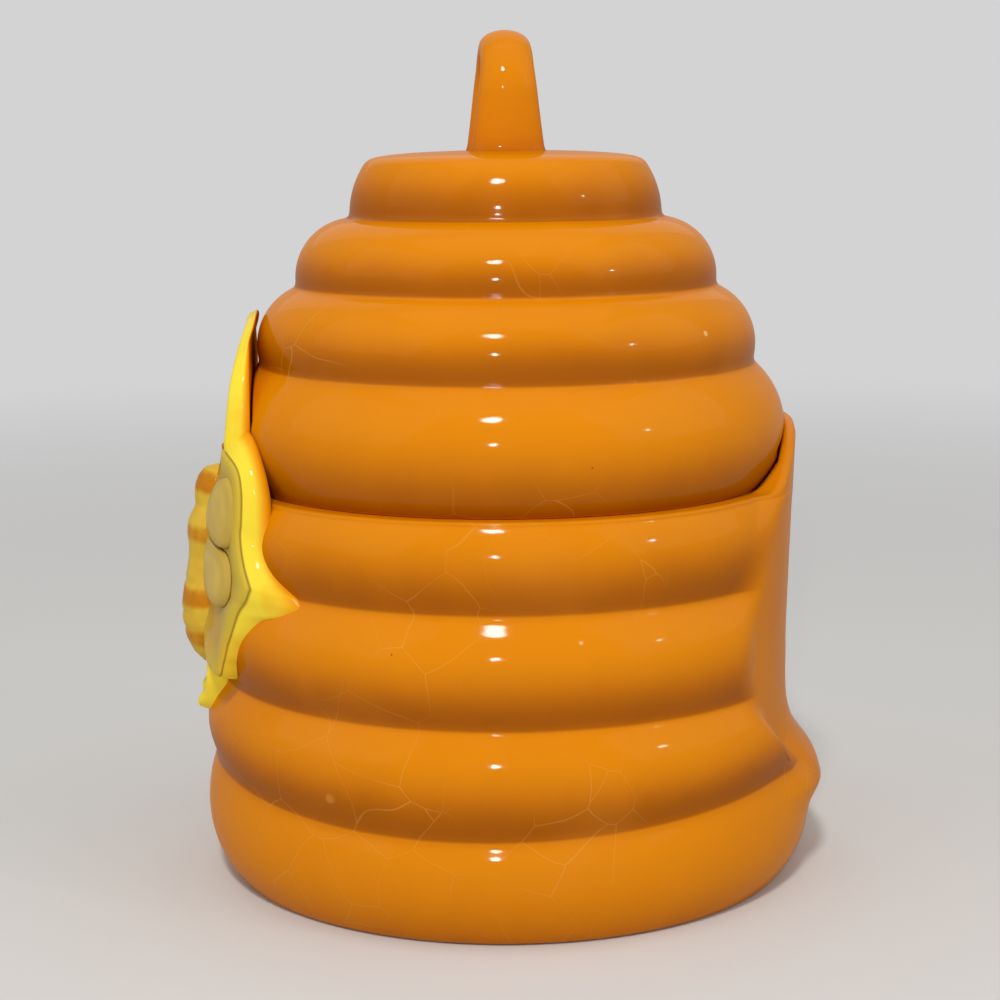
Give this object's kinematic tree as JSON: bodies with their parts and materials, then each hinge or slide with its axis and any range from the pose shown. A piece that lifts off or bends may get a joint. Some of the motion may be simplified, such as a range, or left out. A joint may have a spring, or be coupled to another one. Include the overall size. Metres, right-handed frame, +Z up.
{
  "type": "lidded honey pot",
  "caption": "Glazed ceramic honey pot shaped as a coiled beehive, with a lift-off coiled lid with a loop handle, a flower and bee in relief in front and a smooth arched panel behind.",
  "frame": {"origin": "centre of the foot, on the surface the pot stands on", "axes": "+Z up, -Y out through the flower in front, +Y out through the back panel, X across"},
  "size_m": [0.1108, 0.1175, 0.15],
  "materials": {
    "amber_glaze": "clear gloss glaze over amber",
    "yellow_glaze": "gloss yellow glaze",
    "brown_glaze": "gloss brown glaze",
    "cream_glaze": "gloss pale cream glaze"
  },
  "bodies": {
    "pot": {"pot_shell": "amber_glaze", "back_panel": "amber_glaze", "back_sill": "amber_glaze", "flower_top_petal": "yellow_glaze", "flower_side_petal_left": "yellow_glaze", "flower_side_petal_right": "yellow_glaze", "flower_low_petal_left": "yellow_glaze", "flower_low_petal_right": "yellow_glaze", "bee_head": "brown_glaze", "bee_thorax": "yellow_glaze", "bee_abdomen": "yellow_glaze", "bee_stripes": "brown_glaze", "bee_forewing_left": "cream_glaze", "bee_forewing_right": "cream_glaze", "bee_hindwing_left": "cream_glaze", "bee_hindwing_right": "cream_glaze", "bee_antennae": "brown_glaze"},
    "lid": {"lid_shell": "amber_glaze", "lid_collar": "amber_glaze", "lid_loop_handle": "amber_glaze"}
  },
  "joints": [
    {"name": "lid_lift", "type": "slide", "parent": "pot", "child": "lid", "axis": [0, 0, 1], "range_m": [0, 0.06]}
  ]
}
